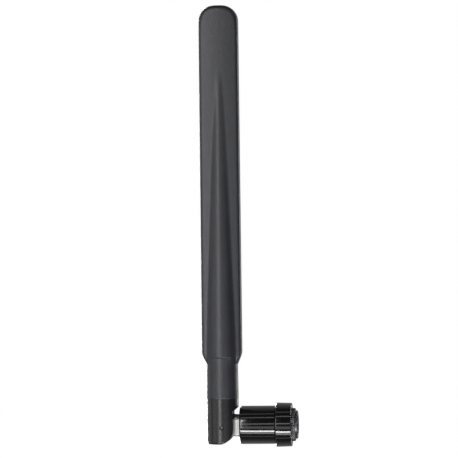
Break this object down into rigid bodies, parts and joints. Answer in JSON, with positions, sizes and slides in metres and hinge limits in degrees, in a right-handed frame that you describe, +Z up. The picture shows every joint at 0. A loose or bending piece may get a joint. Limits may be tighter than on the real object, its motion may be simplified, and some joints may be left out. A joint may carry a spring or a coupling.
{
  "type": "omnidirectional antenna",
  "caption": "Paddle-shaped omnidirectional antenna on a tilting hinge and swivel base, with a right-angle screw-on coaxial plug.",
  "frame": {"origin": "centre of the outer contact's front end, on the plug's axis, which is the plug's reference plane", "axes": "+X along the plug's axis, the way the mating socket leaves; +Z up along the blade; +Y towards the blade's back"},
  "size_m": [0.0422, 0.0196, 0.1964],
  "materials": {
    "radome": "fine-grained charcoal moulding",
    "knuckle": "satin black moulding",
    "gloss_black": "smooth glossy black",
    "black_nickel": "glossy black plating",
    "nickel": "bright nickel plating",
    "steel": "ground steel",
    "spring_steel": "dark spring steel",
    "shim": "natural nylon",
    "acetal": "white acetal",
    "ptfe": "white fluoropolymer",
    "gold": "gold plating",
    "gasket": "red silicone",
    "board": "green solder mask",
    "copper": "bare copper",
    "solder": "bright solder",
    "tinned_copper": "tinned copper",
    "coax_jacket": "black jacket"
  },
  "bodies": {
    "connector": {"plug_body": "nickel", "outer_contact": "nickel", "centre_contact": "gold", "front_insulator": "ptfe", "rear_insulator": "ptfe", "mouth_gasket": "gasket", "crimp_sleeve": "nickel", "nut_snap_ring": "spring_steel", "swivel_clip": "spring_steel"},
    "coupling": {"coupling_nut": "black_nickel", "grip_collar": "gloss_black"},
    "base": {"barrel_shell": "gloss_black", "hinge_tongue": "nickel", "swivel_bush": "acetal", "swivel_washer": "spring_steel"},
    "blade": {"radome_front": "radome", "radome_rear": "radome", "knuckle": "knuckle", "pivot_pin": "steel", "friction_shims": "shim", "radiator_board": "board", "upper_arm": "copper", "lower_arm": "copper", "solder_joints": "solder", "board_spacers": "acetal", "coax_jacket": "coax_jacket", "coax_screen": "tinned_copper", "coax_insulation": "ptfe", "coax_core": "tinned_copper"}
  },
  "joints": [
    {"name": "coupling_spin", "type": "hinge", "parent": "connector", "child": "coupling", "pos_m": [-0.004, 0, 0], "axis": [1, 0, 0], "continuous": true},
    {"name": "base_swivel", "type": "hinge", "parent": "connector", "child": "base", "pos_m": [-0.0117, 0, 0], "axis": [1, 0, 0], "range_deg": [-180, 180]},
    {"name": "blade_tilt", "type": "hinge", "parent": "base", "child": "blade", "pos_m": [-0.0328, 0, -0.001], "axis": [0, -1, 0], "range_deg": [0, 90], "deforming": ["coax_jacket"]}
  ]
}
